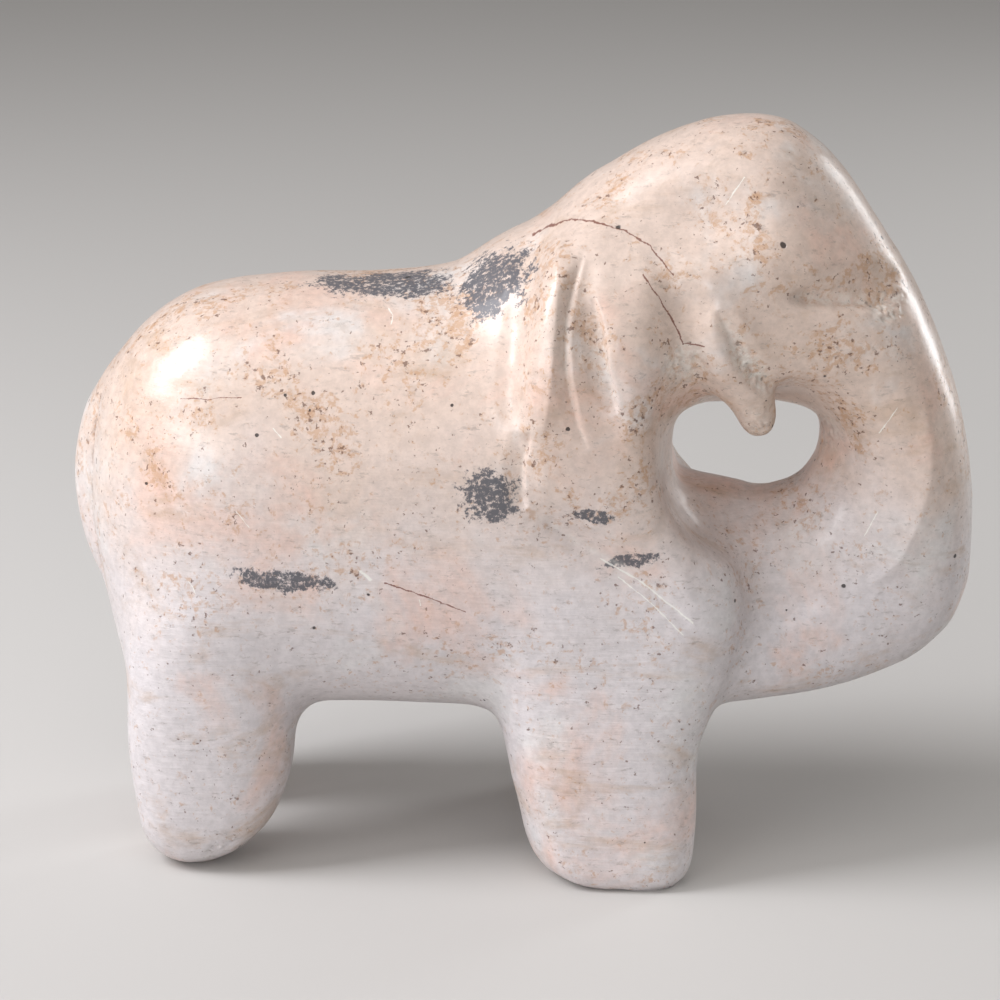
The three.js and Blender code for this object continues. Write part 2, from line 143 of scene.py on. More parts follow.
@dataclass(frozen=True)
class Cut:
    """A knife or file cut that follows a path on the elephant's side or rump.

    Args:
        name: What the cut is. It is not used.
        path: Points in millimetres, (x, z) on a flank or (|y|, z) on the rump.
        depth: Depth at the middle of its length, in millimetres. Below zero it raises the stone.
        width: Half-width in millimetres.
        section: The shape of its cross-section. A step is steep to the left of its run.
        side: The flank that it is on.
        sheet: The plane that its path is drawn on.
        taper: Share of the length over which each end fades out.
        reaches: Range of x that it stays in, in millimetres.
        dust: How much pale stone dust sits in it.
        dirt: How much brown dirt sits in it.
    """

    name: str
    path: tuple[Point, ...]
    depth: float
    width: float
    section: Section = Section.VEE
    side: Side = Side.BOTH
    sheet: Sheet = Sheet.FLANK
    taper: float = 0.3
    reaches: Point = (-99.0, 99.0)
    dust: float = 0.0
    dirt: float = 0.0

    def measure(self, at: np.ndarray) -> tuple[np.ndarray, np.ndarray, np.ndarray]:
        """Measure each point of the surface against the path.

        Args:
            at: Surface points, in millimetres.

        Returns:
            The distance from the path, the side of it (left of its run is positive) and the share of its length.
        """
        points = np.array(self.path)
        steps = np.diff(points, axis=0)
        lengths = np.hypot(steps[:, 0], steps[:, 1])
        starts = np.concatenate([[0], np.cumsum(lengths)])
        flat = np.abs(at[:, self.sheet.value]) if self.sheet is Sheet.RUMP else at[:, self.sheet.value]
        best = np.full(len(at), np.inf)
        hand = np.zeros(len(at))
        share = np.zeros(len(at))
        for start, step, length, run in zip(points, steps, lengths, starts):
            offset = flat - start
            along = np.clip(offset @ step / length**2, 0, 1)
            miss = offset - along[:, None] * step
            distance = np.hypot(miss[:, 0], miss[:, 1])
            closer = distance < best
            best = np.where(closer, distance, best)
            turn = step[0] * offset[:, 1] - step[1] * offset[:, 0]
            hand = np.where(closer, np.sign(turn), hand)
            share = np.where(closer, (run + along * length) / starts[-1], share)
        return best, hand, share

    def touched(self, at: np.ndarray) -> np.ndarray:
        """Tell which points are near enough to the cut to need a finer surface.

        Args:
            at: Surface points, in millimetres.

        Returns:
            True for each point that is.
        """
        distance, _, _ = self.measure(at)
        inside = (at[:, 0] > self.reaches[0]) & (at[:, 0] < self.reaches[1])
        return (distance < self.width + CUT_MARGIN) & on_side(at, self.side) & inside

    def profile(self, at: np.ndarray, normals: np.ndarray) -> np.ndarray:
        """Work out the share of the full depth that the cut has at each point.

        Args:
            at: Surface points, in millimetres.
            normals: Their unit normals.

        Returns:
            The share at each point.
        """
        distance, hand, share = self.measure(at)
        fade = np.clip(np.minimum(share, 1 - share) / max(self.taper, 0.01), 0, 1)
        fade = fade * (2 - fade)
        width = self.width * (END_WIDTH + (1 - END_WIDTH) * fade)
        near = np.clip(distance / width, 0, 1)
        if self.section is Section.ROUND:
            shape = np.cos(near * math.pi / 2) ** 2
        elif self.section is Section.VEE:
            shape = (1 - near) ** VEE_HOLLOW
        else:
            steep = np.clip(distance / (STEEP_SHARE * width), 0, 1)
            shape = np.where(hand > 0, 1 - steep, (1 - near) ** STEP_HOLLOW)
        across = np.abs(normals[:, 1] if self.sheet is Sheet.FLANK else normals[:, 0])
        facing = np.clip((across - FACING_FROM) / FACING_RANGE, 0, 1) * on_side(at, self.side)
        facing = facing * (at[:, 0] > self.reaches[0]) * (at[:, 0] < self.reaches[1])
        return fade * shape * facing


@dataclass(frozen=True)
class Break:
    """A place where the stone broke away in small chips and was left rough.

    Args:
        name: What it is. It is not used.
        centre: Its middle (x, z), in millimetres.
        reach: Its half-sizes along and across, in millimetres.
        turn: How far its length is turned up from x, in degrees.
        depth: Depth of the deepest chips, in millimetres.
        grain: Size of the chips, in millimetres.
        side: The flank that it is on.
        dust: How much pale stone dust shows on it.
    """

    name: str
    centre: Point
    reach: Point
    turn: float
    depth: float
    grain: float = 0.9
    side: Side = Side.NEAR
    dust: float = 0.6

    def cover(self, at: np.ndarray) -> np.ndarray:
        """Work out how far inside the break each point is.

        Args:
            at: Surface points, in millimetres.

        Returns:
            1 in the middle, 0 at its rim and beyond.
        """
        lean = math.radians(self.turn)
        dx, dz = at[:, 0] - self.centre[0], at[:, 2] - self.centre[1]
        along = (dx * math.cos(lean) + dz * math.sin(lean)) / self.reach[0]
        over = (dz * math.cos(lean) - dx * math.sin(lean)) / self.reach[1]
        return np.clip(1 - np.hypot(along, over), 0, 1) * on_side(at, self.side)

    def touched(self, at: np.ndarray) -> np.ndarray:
        """Tell which points need a finer surface."""
        return self.cover(at) > 0

    def profile(self, at: np.ndarray, normals: np.ndarray) -> np.ndarray:
        """Work out the share of the full depth at each point.

        Args:
            at: Surface points, in millimetres.
            normals: Their unit normals.

        Returns:
            The share at each point.
        """
        cover = self.cover(at) * np.clip(np.abs(normals[:, 1]) / FACING_RANGE, 0, 1)
        rough = np.zeros(len(at))
        for i in np.flatnonzero(cover > 0):
            spot = Vector(at[i]) / self.grain
            nearest = noise.voronoi(spot)[0]
            chips = CHIP_RELIEF * (nearest[1] - nearest[0])
            rough[i] = CHIP_FLOOR + chips + GRIT_RELIEF * noise.noise(spot * GRIT_PER_CHIP)
        return np.minimum(cover * RIM_STEEPNESS, 1) * rough


@dataclass
class CarvedStone:
    """The elephant's whole surface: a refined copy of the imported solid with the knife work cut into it.

    Args:
        cuts: The knife and file cuts.
        breaks: The places where the stone is chipped.
        node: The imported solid's name.
        levels: How often the whole surface is divided and smoothed.
        waver: Size and height of each layer of unevenness, in millimetres.
        fineness: Near the marks, edges longer than each of these are halved in turn, in millimetres.
        weld: Corners closer than this are one, in millimetres.
        sole_height: What lies no higher than this is part of a sole, in millimetres.
        sole_crease: How sharp the rim of a sole stays when the surface is smoothed.
        join_angle: How far two triangles may bend or lean and still join into a four-sided face, in degrees.
        sole_fade: Height over which the unevenness sets in, in millimetres.
    """

    cuts: Sequence[Cut]
    breaks: Sequence[Break]
    node: str = "elephant"
    levels: int = 2
    waver: tuple[tuple[float, float], ...] = ((9.0, 0.10), (3.6, 0.035))
    fineness: tuple[float, ...] = (0.42, 0.23)
    weld: float = 0.002
    sole_height: float = 0.01
    sole_crease: float = 0.7
    join_angle: float = 60.0
    sole_fade: float = 2.0

    def build(self) -> bpy.types.Object:
        """Make the stone.

        Returns:
            The finished object, at the origin, with its place in its mesh.
        """
        mesh = self.smooth_copy()
        self.refine(mesh)
        self.carve(mesh)
        for face in mesh.polygons:
            face.use_smooth = True
        stone = bpy.data.objects.new("elephant_stone", mesh)
        bpy.context.scene.collection.objects.link(stone)
        log.info("elephant_stone: %d triangles", sum(len(p.vertices) - 2 for p in mesh.polygons))
        return stone

    def on_sole(self, vert: bmesh.types.BMVert) -> bool:
        """Tell whether a corner lies on a sole."""
        return vert.co.z < self.sole_height * MM

    def smooth_copy(self) -> bpy.types.Mesh:
        """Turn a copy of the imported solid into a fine, smooth surface.

        Returns:
            The mesh.
        """
        shell = bmesh.new()
        shell.from_mesh(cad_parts[self.node].data)
        bmesh.ops.remove_doubles(shell, verts=shell.verts, dist=self.weld * MM)
        soles = [f for f in shell.faces if all(self.on_sole(v) for v in f.verts)]
        bmesh.ops.dissolve_faces(shell, faces=soles)
        crease = shell.edges.layers.float.new("crease_edge")
        for edge in shell.edges:
            if all(self.on_sole(v) for v in edge.verts):
                edge[crease] = self.sole_crease
        bend = math.radians(self.join_angle)
        bmesh.ops.join_triangles(
            shell, faces=[f for f in shell.faces if len(f.verts) == 3], cmp_seam=False, cmp_sharp=False,
            cmp_uvs=False, cmp_vcols=False, cmp_materials=False,
            angle_face_threshold=bend, angle_shape_threshold=bend,
        )
        coarse = bpy.data.meshes.new("elephant_coarse")
        shell.to_mesh(coarse)
        shell.free()
        carrier = bpy.data.objects.new("elephant_coarse", coarse)
        bpy.context.scene.collection.objects.link(carrier)
        polish = carrier.modifiers.new("Polish", "SUBSURF")
        polish.levels = polish.render_levels = self.levels
        settled = carrier.evaluated_get(bpy.context.evaluated_depsgraph_get())
        mesh = bpy.data.meshes.new_from_object(settled)
        bpy.data.objects.remove(carrier)
        bpy.data.meshes.remove(coarse)
        mesh.name = "elephant_stone"
        return mesh

    def refine(self, mesh: bpy.types.Mesh) -> None:
        """Split the faces that a cut or a break runs through, so that its edges come out crisp.

        Args:
            mesh: The smooth surface.
        """
        for limit in self.fineness:
            fine = bmesh.new()
            fine.from_mesh(mesh)
            at = np.array([v.co for v in fine.verts]) / MM
            near = np.zeros(len(at), dtype=bool)
            for mark in (*self.cuts, *self.breaks):
                near |= mark.touched(at)
            chosen = [e for e in fine.edges
                      if near[e.verts[0].index] and near[e.verts[1].index] and e.calc_length() > limit * MM]
            bmesh.ops.subdivide_edges(fine, edges=chosen, cuts=1, use_grid_fill=True)
            fine.to_mesh(mesh)
            fine.free()

    def carve(self, mesh: bpy.types.Mesh) -> None:
        """Push the surface in along its normals where the cuts are, and note the dust and dirt in them.

        Args:
            mesh: The refined surface.
        """
        count = len(mesh.vertices)
        at = np.empty(count * 3)
        mesh.vertices.foreach_get("co", at)
        at = at.reshape(-1, 3) / MM
        normals = np.empty(count * 3)
        mesh.vertex_normals.foreach_get("vector", normals)
        normals = normals.reshape(-1, 3)
        depth = np.zeros(count)
        films = {"dust": np.zeros(count), "dirt": np.zeros(count)}
        for cut in self.cuts:
            share = cut.profile(at, normals)
            depth += cut.depth * share
            for film, amount in films.items():
                np.maximum(amount, getattr(cut, film) * share, out=amount)
        for spot in self.breaks:
            share = spot.profile(at, normals)
            depth += spot.depth * share
            np.maximum(films["dust"], spot.dust * np.clip(spot.cover(at) * 2, 0, 1), out=films["dust"])
        depth += self.hand_waver(at)
        at = at - normals * depth[:, None]
        at[:, 2] = np.maximum(at[:, 2], 0)
        mesh.vertices.foreach_set("co", (at * MM).ravel())
        mesh.update()
        for film, amount in films.items():
            layer = mesh.attributes.new(film, "FLOAT", "POINT")
            layer.data.foreach_set("value", np.clip(amount, 0, 1))

    def hand_waver(self, at: np.ndarray) -> np.ndarray:
        """Work out the slight unevenness that sanding by hand leaves.

        Args:
            at: Surface points, in millimetres.

        Returns:
            The depth at each point. It fades out at the ground, so that the soles stay flat.
        """
        wave = np.zeros(len(at))
        for size, height in self.waver:
            wave += height * np.array([noise.noise(Vector(p) / size) for p in at])
        return wave * np.clip(at[:, 2] / self.sole_fade, 0, 1)


class NodeBench:
    """A short way to lay out shader nodes: each call adds one node and gives back its output socket."""

    def __init__(self, material: bpy.types.Material) -> None:
        """Start on a material's empty tree.

        Args:
            material: The material to build in.
        """
        material.use_nodes = True
        self.tree = material.node_tree
        self.tree.nodes.clear()
        self.place = self.add("ShaderNodeTexCoord").outputs["Object"]

    def add(self, kind: str) -> bpy.types.Node:
        """Add a bare node of a kind."""
        return self.tree.nodes.new(kind)

    def link(self, value: object, socket: bpy.types.NodeSocket) -> None:
        """Feed a socket.

        Args:
            value: Another socket, or a plain value.
            socket: The input that takes it.
        """
        if isinstance(value, bpy.types.NodeSocket):
            self.tree.links.new(value, socket)
        else:
            socket.default_value = value

    def film(self, name: str) -> bpy.types.NodeSocket:
        """Read one of the surface's own attributes.

        Args:
            name: The attribute.

        Returns:
            Its value.
        """
        node = self.add("ShaderNodeAttribute")
        node.attribute_name = name
        return node.outputs["Fac"]

    def mapped(self, kind: str, move: Place = (0, 0, 0), turn: Place = (0, 0, 0),
               scale: Place = (1, 1, 1)) -> bpy.types.NodeSocket:
        """Move, turn and stretch the object's own coordinates.

        Args:
            kind: "POINT" scales, turns and moves them. "TEXTURE" does the reverse, so that a shape lands there.
            move: Shift in metres.
            turn: Turn in radians.
            scale: Scale on each axis.

        Returns:
            The new coordinates.
        """
        node = self.add("ShaderNodeMapping")
        node.vector_type = kind
        self.link(self.place, node.inputs["Vector"])
        node.inputs["Location"].default_value = move
        node.inputs["Rotation"].default_value = turn
        node.inputs["Scale"].default_value = scale
        return node.outputs["Vector"]

    def noise(self, size: float, detail: float = 3.0, rough: float = 0.55, swirl: float = 0.0,
              where: bpy.types.NodeSocket | None = None, want: str = "Fac") -> bpy.types.NodeSocket:
        """Add cloudy noise.

        Args:
            size: Size of the clouds in millimetres.
            detail: Octaves.
            rough: Weight of the fine octaves.
            swirl: How far the clouds swirl.
            where: Coordinates in place of the object's.
            want: The output, "Fac" or "Color".

        Returns:
            The noise.
        """
        node = self.add("ShaderNodeTexNoise")
        self.link(where or self.place, node.inputs["Vector"])
        node.inputs["Scale"].default_value = 1 / (size * MM)
        node.inputs["Detail"].default_value = detail
        node.inputs["Roughness"].default_value = rough
        node.inputs["Distortion"].default_value = swirl
        return node.outputs[want]

    def cells(self, size: float, where: bpy.types.NodeSocket) -> bpy.types.Node:
        """Scatter points, one to a cell.

        Args:
            size: Size of a cell in millimetres.
            where: Coordinates.

        Returns:
            The node, which gives each cell's own colour and the distance from its point.
        """
        node = self.add("ShaderNodeTexVoronoi")
        self.link(where, node.inputs["Vector"])
        node.inputs["Scale"].default_value = 1 / (size * MM)
        return node

    def spread(self, value: object, low: float, high: float, start: float = 0.0,
               end: float = 1.0) -> bpy.types.NodeSocket:
        """Stretch a range of values smoothly onto another.

        Args:
            value: What is stretched.
            low: Where the new range starts.
            high: Where it ends.
            start: Value at and below low.
            end: Value at and above high.

        Returns:
            The stretched value.
        """
        node = self.add("ShaderNodeMapRange")
        node.interpolation_type = "SMOOTHSTEP"
        self.link(value, node.inputs["Value"])
        for name, bound in (("From Min", low), ("From Max", high), ("To Min", start), ("To Max", end)):
            node.inputs[name].default_value = bound
        return node.outputs["Result"]

    def sum(self, kind: str, *values: object) -> bpy.types.NodeSocket:
        """Do one step of arithmetic.

        Args:
            kind: Blender's name of the operation.
            values: What it works on.

        Returns:
            The result.
        """
        node = self.add("ShaderNodeMath")
        node.operation = kind
        for value, socket in zip(values, node.inputs):
            self.link(value, socket)
        return node.outputs[0]

    def gather(self, kind: str, values: Sequence[object]) -> bpy.types.NodeSocket:
        """Fold several values into one with the same operation, such as MAXIMUM.

        Args:
            kind: Blender's name of the operation.
            values: The values.

        Returns:
            The result.
        """
        total = values[0]
        for value in values[1:]:
            total = self.sum(kind, total, value)
        return total

    def vector(self, kind: str, *values: object, want: str = "Vector") -> bpy.types.NodeSocket:
        """Do one step of vector arithmetic.

        Args:
            kind: Blender's name of the operation.
            values: What it works on.
            want: The output, "Vector" or "Value".

        Returns:
            The result.
        """
        node = self.add("ShaderNodeVectorMath")
        node.operation = kind
        for value, socket in zip(values, (s for s in node.inputs if s.name == "Vector")):
            self.link(value, socket)
        return node.outputs[want]

    def mix(self, share: object, first: object, second: object) -> bpy.types.NodeSocket:
        """Lay one colour over another.

        Args:
            share: How much of the second shows.
            first: The colour below.
            second: The colour above.

        Returns:
            The blended colour.
        """
        node = self.add("ShaderNodeMix")
        node.data_type = "RGBA"
        for value, socket in ((share, node.inputs[0]), (first, node.inputs[6]), (second, node.inputs[7])):
            self.link(value, socket)
        return node.outputs[2]

    def axis(self, name: str) -> bpy.types.NodeSocket:
        """Read one object coordinate.

        Args:
            name: "X", "Y" or "Z".

        Returns:
            It, in metres.
        """
        node = self.add("ShaderNodeSeparateXYZ")
        self.link(self.place, node.inputs[0])
        return node.outputs[name]

    def bump(self, height: object, depth: float, under: bpy.types.NodeSocket | None = None) -> bpy.types.NodeSocket:
        """Raise the surface for shading.

        Args:
            height: The height, 0 to 1.
            depth: What a height of 1 stands for, in millimetres.
            under: A bump below this one.

        Returns:
            The bent normal.
        """
        node = self.add("ShaderNodeBump")
        node.inputs["Distance"].default_value = depth * MM
        self.link(height, node.inputs["Height"])
        if under:
            self.link(under, node.inputs["Normal"])
        return node.outputs[0]


@dataclass(frozen=True)
class Mineral:
    """A mineral that clouds or speckles the stone.

    Args:
        tint: Its colour.
        size: Size of its clouds or grains, in millimetres.
        detail: Octaves of the noise that scatters it.
        rough: Weight of the fine octaves.
        swirl: How far it swirls.
        low: Noise above this starts to show it ...
        high: ... and above this shows it in full.
        amount: How strongly it covers the stone.
        pull: How much more of it there is where grains cluster.
        stretch: Scale of the noise on each axis, where the mineral lies in streaks.
        lean: Turn of the streaks about Y, in radians.
    """

    tint: Tint
    size: float
    detail: float
    rough: float
    swirl: float
    low: float
    high: float
    amount: float
    pull: float = 0.0
    stretch: Place | None = None
    lean: float = 0.0


@dataclass(frozen=True)
class Cloud:
    """A cloud of another mineral, as an ellipsoid in the stone.

    Args:
        centre: Its middle, in millimetres.
        reach: Its half-sizes, in millimetres.
        turn: How far its length is turned up from x, in degrees.
    """

    centre: Place
    reach: Place
    turn: float = 0.0


@dataclass(frozen=True)
class Vein:
    """A hairline crack or scratch on one flank.

    Args:
        path: Points (x, z), in millimetres.
        width: Its half-width, in millimetres.
        side: The flank that it is on.
    """

    path: tuple[Point, ...]
    width: float
    side: Side = Side.NEAR


PEACH = Mineral(linear(221, 182, 164), size=13, detail=5, rough=0.6, swirl=0.5, low=0.5, high=0.72, amount=0.7)
MILKY = Mineral(linear(216, 214, 212), size=9, detail=4, rough=0.62, swirl=0.3, low=0.5, high=0.75, amount=0.7)
TAN = Mineral(linear(182, 152, 124), size=6, detail=6, rough=0.66, swirl=0.6, low=0.52, high=0.72, amount=0.55,
              stretch=(0.45, 1, 1.2), lean=0.12)
FINE_OCHRE = Mineral(linear(182, 134, 88), size=0.62, detail=4, rough=0.66, swirl=0.3, low=0.61, high=0.73,
                     amount=0.5, pull=0.16)
COARSE_OCHRE = Mineral(linear(182, 134, 88), size=1.5, detail=5, rough=0.72, swirl=0.5, low=0.63, high=0.75,
                       amount=0.4, pull=0.12)
ASH = Mineral(linear(128, 116, 108), size=0.7, detail=5, rough=0.75, swirl=0.2, low=0.56, high=0.70, amount=0.42,
              stretch=(0.5, 1, 1.4), lean=0.15)
UMBER = Mineral(linear(96, 60, 40), size=0.5, detail=3, rough=0.6, swirl=0.2, low=0.66, high=0.73, amount=0.75,
                pull=0.08)

GREY_CLOUDS = (
    Cloud((-2.0, -14.5, 36.3), (3.2, 5, 3.0), -20),
    Cloud((-19.7, -13.5, 28.5), (5.6, 5, 1.3), -4),
    Cloud((6.7, -14.5, 34.8), (2.4, 4, 0.8), -8),
    Cloud((10.0, -14.0, 30.6), (2.8, 4, 0.9), 14),
    Cloud((-2.0, -7.0, 53.2), (4.6, 6, 3.6), 30),
    Cloud((-12.0, -3.0, 52.2), (9.5, 4.4, 1.5), -1),
    Cloud((-24, 13.5, 33), (3.6, 5, 2.2), 15),
    Cloud((22, 10, 56), (3.4, 5, 1.4), -30),
    Cloud((10, 14, 14), (1.6, 4, 3.0), 10),
)

CRACKS = (
    Vein(((1.2, 56.5), (2.5, 57.4), (4.1, 58.2), (5.5, 58.6), (7.2, 58.5), (9.1, 58.0), (11.2, 57.0), (13.2, 54.8)),
         0.06),
    Vein(((10.7, 54.9), (11.7, 53.6), (12.8, 51.8), (13.7, 50.1), (14.1, 49.0), (15.8, 48.9)), 0.06),
    Vein(((-10.9, 28.4), (-9.0, 27.8), (-6.9, 27.0), (-4.1, 25.9)), 0.06),
    Vein(((-28.4, 43.6), (-23.2, 44.0)), 0.03),
    Vein(((-30, 20), (-27, 18.5), (-24.5, 18.9)), 0.05, Side.FAR),
    Vein(((18, 60), (21, 57.5), (22.5, 53.5)), 0.06, Side.FAR),
)

SCRATCHES = (
    Vein(((-11.0, 50.6), (-10.6, 50.2), (-10.7, 49.6)), 0.05),
    Vein(((-20.3, 41.6), (-19.6, 40.9)), 0.05),
    Vein(((-27.9, 28.1), (-27.5, 27.6), (-27.3, 27.0)), 0.05),
    Vein(((-13.0, 29.4), (-12.2, 28.7)), 0.12),
    Vein(((19.0, 62.4), (18.0, 61.0), (17.5, 60.2)), 0.06),
    Vein(((7.4, 30.6), (11.0, 28.5), (15.4, 25.0)), 0.07),
    Vein(((9.0, 29.0), (12.0, 26.6), (14.5, 24.0)), 0.05),
    Vein(((-23.5, 34.6), (-22.4, 33.2)), 0.04),
    Vein(((-8.0, 26.9), (-7.9, 26.4)), 0.05),
    Vein(((31.0, 40.5), (32.4, 42.9)), 0.05),
    Vein(((30.2, 31.0), (31.2, 33.2)), 0.05),
    Vein(((-12, 33), (-9, 31.5)), 0.05, Side.FAR),
    Vein(((25, 36), (27.5, 39)), 0.05, Side.FAR),
)


@dataclass(frozen=True)
class SoapstoneFinish:
    """Waxed soapstone: pinkish beige, warm on top and lilac below, speckled with ochre and grey. The lilac below is
    partly the stone's own tone and partly painted shade.

    Args:
        name: The material's name.
        warm: The stone's colour above.
        lilac_and_shade: The stone's colour below, partly its own lilac tone and partly painted shade.
        umber: Dark brown grains, and the dirt in grooves.
        pitch: The pits.
        slate: The grey mineral.
        rust: The cracks.
        chalk: Stone dust and scratches.
        roughness: Roughness of well-polished stone.
        coat: Weight of the wax.
        coat_roughness: Roughness of the wax.
        clouds: Broad patches, each laid over the last.
        grains: Fine grains, each laid over the last.
    """

    name: str = "soapstone"
    warm: Tint = linear(212, 191, 177)
    # Lilac-grey for low on the body: partly the stone's own tone, partly painted shade.
    lilac_and_shade: Tint = linear(208, 201, 201)
    umber: Tint = UMBER.tint
    pitch: Tint = linear(38, 30, 28)
    slate: Tint = linear(82, 82, 88)
    rust: Tint = linear(112, 58, 42)
    chalk: Tint = linear(232, 230, 222)
    roughness: float = 0.34
    coat: float = 0.22
    coat_roughness: float = 0.16
    clouds: tuple[Mineral, ...] = (PEACH, MILKY, TAN)
    grains: tuple[Mineral, ...] = (FINE_OCHRE, COARSE_OCHRE, ASH, UMBER)

    def material(self) -> bpy.types.Material:
        """Build the finish.

        Returns:
            The material.
        """
        stone = bpy.data.materials.new(self.name)
        bench = NodeBench(stone)
        grey = self.grey_minerals(bench)
        cracks = self.veins(bench, CRACKS, 0.5)
        scratches = self.veins(bench, SCRATCHES, 0.25)
        pits = self.pits(bench)
        chalky = bench.sum("MAXIMUM", scratches, self.chalky(bench))
        dirt = self.dirty(bench)
        colour = self.ground_tone(bench)
        colour = self.specks(bench, colour)
        colour = bench.mix(grey, colour, self.slate)
        colour = bench.mix(bench.sum("MULTIPLY", chalky, 0.75), colour, self.chalk)
        colour = bench.mix(bench.sum("MULTIPLY", cracks, 0.85), colour, self.rust)
        colour = bench.mix(dirt, colour, self.umber)
        colour = bench.mix(bench.sum("MULTIPLY", pits, 0.9), colour, self.pitch)
        shader = bench.add("ShaderNodeBsdfPrincipled")
        bench.link(colour, shader.inputs["Base Color"])
        bench.link(self.gloss(bench, grey, chalky), shader.inputs["Roughness"])
        bench.link(self.relief(bench, pits), shader.inputs["Normal"])
        shader.inputs["Coat Weight"].default_value = self.coat
        shader.inputs["Coat Roughness"].default_value = self.coat_roughness
        output = bench.add("ShaderNodeOutputMaterial")
        bench.link(shader.outputs[0], output.inputs[0])
        return stone

    def ground_tone(self, bench: NodeBench) -> bpy.types.NodeSocket:
        """Lay the broad clouds of colour: warm above, a cool lilac-grey below that is partly painted shade, with
        peach, milky and tan patches.

        Args:
            bench: The material's nodes.

        Returns:
            The colour.
        """
        uneven = bench.noise(size=19, detail=4, rough=0.6, swirl=0.4)
        height = bench.sum("MULTIPLY_ADD", uneven, 34 * MM, bench.axis("Z"))
        # Blend by height from the lilac-grey below, partly painted shade, into the warm tone above.
        colour = bench.mix(bench.spread(height, low=36 * MM, high=62 * MM), self.lilac_and_shade, self.warm)
        for mineral in self.clouds:
            colour = self.lay(bench, colour, mineral)
        grain = bench.spread(bench.noise(size=0.9, detail=4, rough=0.7), low=0.3, high=0.7, start=0.90, end=1.06)
        return bench.vector("MULTIPLY", colour, self.grey_level(bench, grain))

    @staticmethod
    def lay(bench: NodeBench, colour: bpy.types.NodeSocket, mineral: Mineral,
            clusters: object = 0.0) -> bpy.types.NodeSocket:
        """Lay one mineral over the colour so far.

        Args:
            bench: The material's nodes.
            colour: The colour so far.
            mineral: The mineral.
            clusters: Where its grains gather.

        Returns:
            The new colour.
        """
        where = mineral.stretch and bench.mapped("POINT", scale=mineral.stretch, turn=(0, mineral.lean, 0))
        cover = bench.noise(mineral.size, mineral.detail, mineral.rough, mineral.swirl, where)
        if mineral.pull:
            cover = bench.sum("MULTIPLY_ADD", clusters, mineral.pull, cover)
        share = bench.spread(cover, mineral.low, mineral.high, end=mineral.amount)
        return bench.mix(share, colour, mineral.tint)

    @staticmethod
    def grey_level(bench: NodeBench, value: bpy.types.NodeSocket) -> bpy.types.NodeSocket:
        """Make one value into a grey colour.

        Args:
            bench: The material's nodes.
            value: The value.

        Returns:
            The colour.
        """
        node = bench.add("ShaderNodeCombineXYZ")
        for socket in node.inputs:
            bench.link(value, socket)
        return node.outputs[0]

    def specks(self, bench: NodeBench, colour: bpy.types.NodeSocket) -> bpy.types.NodeSocket:
        """Scatter ochre and brown grains, thickest in loose clusters.

        Args:
            bench: The material's nodes.
            colour: The colour so far.

        Returns:
            The colour with the grains.
        """
        loose = bench.spread(bench.noise(size=5.5, detail=3, rough=0.6, swirl=0.4), low=0.42, high=0.66)
        higher = bench.spread(bench.axis("Z"), low=12 * MM, high=50 * MM, start=0.35)
        clusters = bench.sum("MULTIPLY", loose, higher)
        for mineral in self.grains:
            colour = self.lay(bench, colour, mineral, clusters)
        return colour

    @staticmethod
    def pits(bench: NodeBench) -> bpy.types.NodeSocket:
        """Scatter a few tiny dark pits.

        Args:
            bench: The material's nodes.

        Returns:
            Where they are.
        """
        wobble = bench.vector("SCALE", bench.noise(size=0.7, detail=2, want="Color"))
        wobble.node.inputs["Scale"].default_value = 0.25 * MM
        where = bench.vector("ADD", bench.place, wobble)
        layers = []
        for size, kept, radius in ((4.6, 0.45, 0.06), (2.4, 0.72, 0.08)):
            points = bench.cells(size, where)
            chance = bench.add("ShaderNodeSeparateColor")
            bench.link(points.outputs["Color"], chance.inputs[0])
            bigger = bench.spread(chance.outputs[0], kept, 1, 0, radius)
            gap = bench.sum("SUBTRACT", bigger, points.outputs["Distance"])
            layers.append(bench.spread(gap, low=-0.012, high=0.012))
        return bench.gather("MAXIMUM", layers)

    @staticmethod
    def grey_minerals(bench: NodeBench) -> bpy.types.NodeSocket:
        """Speckle the grey mineral clouds.

        Args:
            bench: The material's nodes.

        Returns:
            Where the grey grains are.
        """
        covers = []
        for cloud in GREY_CLOUDS:
            inside = bench.mapped(
                "TEXTURE", tuple(v * MM for v in cloud.centre), (0, -math.radians(cloud.turn), 0),
                tuple(v * MM for v in cloud.reach),
            )
            covers.append(bench.vector("LENGTH", inside, want="Value"))
        nearest = bench.gather("MINIMUM", covers)
        edge = bench.noise(size=2.4, detail=5, rough=0.7, swirl=0.4)
        ragged = bench.sum("MULTIPLY_ADD", edge, 1.5, nearest)
        cover = bench.spread(ragged, low=1.25, high=1.9, start=1, end=0)
        grit = bench.noise(size=0.42, detail=4, rough=0.75, swirl=0.2)
        grains = bench.sum("MULTIPLY_ADD", cover, 0.34, grit)
        return bench.spread(grains, low=0.68, high=0.84, end=0.95)

